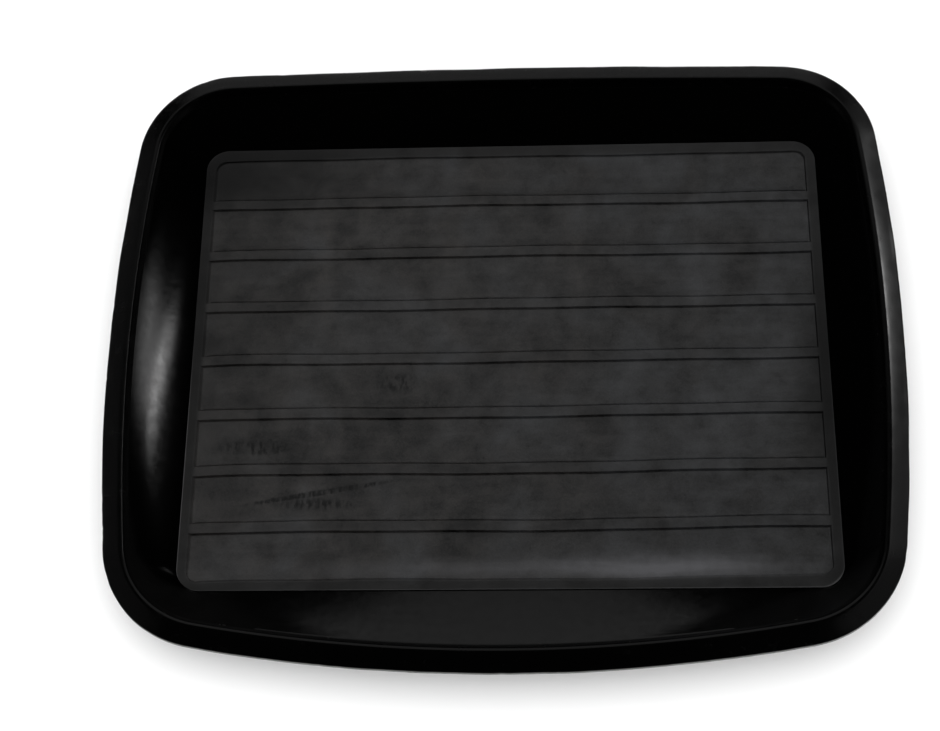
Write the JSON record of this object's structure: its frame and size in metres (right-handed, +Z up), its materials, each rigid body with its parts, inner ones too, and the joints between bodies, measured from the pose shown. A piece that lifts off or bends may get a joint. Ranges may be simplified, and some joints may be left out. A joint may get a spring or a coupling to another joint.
{
  "type": "ribbed tray",
  "caption": "Shallow one-piece black tray with a flat cross-ribbed floor, a wall that curves up all round and a narrow flange turned outwards at a bowed rim.",
  "frame": {"origin": "on the surface that the tray stands on, under the middle of the rim's box", "axes": "+X to the right along the ribs, +Y from the bowed front to the nearly straight back, +Z up"},
  "size_m": [0.45, 0.3774, 0.0287],
  "materials": {
    "tray_floor": "fine matt moulding grain, scuffed",
    "tray_wall": "smooth and glossy with fine scratches",
    "tray_rim": "satin, with a trimmed outer edge"
  },
  "bodies": {
    "root": {"border_back": "tray_floor", "border_front": "tray_floor", "border_left": "tray_floor", "border_right": "tray_floor", "corner_back_left": "tray_wall", "corner_back_right": "tray_wall", "corner_front_left": "tray_wall", "corner_front_right": "tray_wall", "cross_rib_1": "tray_floor", "cross_rib_2": "tray_floor", "cross_rib_3": "tray_floor", "cross_rib_4": "tray_floor", "cross_rib_5": "tray_floor", "cross_rib_6": "tray_floor", "cross_rib_7": "tray_floor", "floor_panel": "tray_floor", "rim_back": "tray_rim", "rim_corner_back_left": "tray_rim", "rim_corner_back_right": "tray_rim", "rim_corner_front_left": "tray_rim", "rim_corner_front_right": "tray_rim", "rim_front": "tray_rim", "rim_left": "tray_rim", "rim_right": "tray_rim", "wall_back": "tray_wall", "wall_front": "tray_wall", "wall_left": "tray_wall", "wall_right": "tray_wall"}
  },
  "joints": []
}
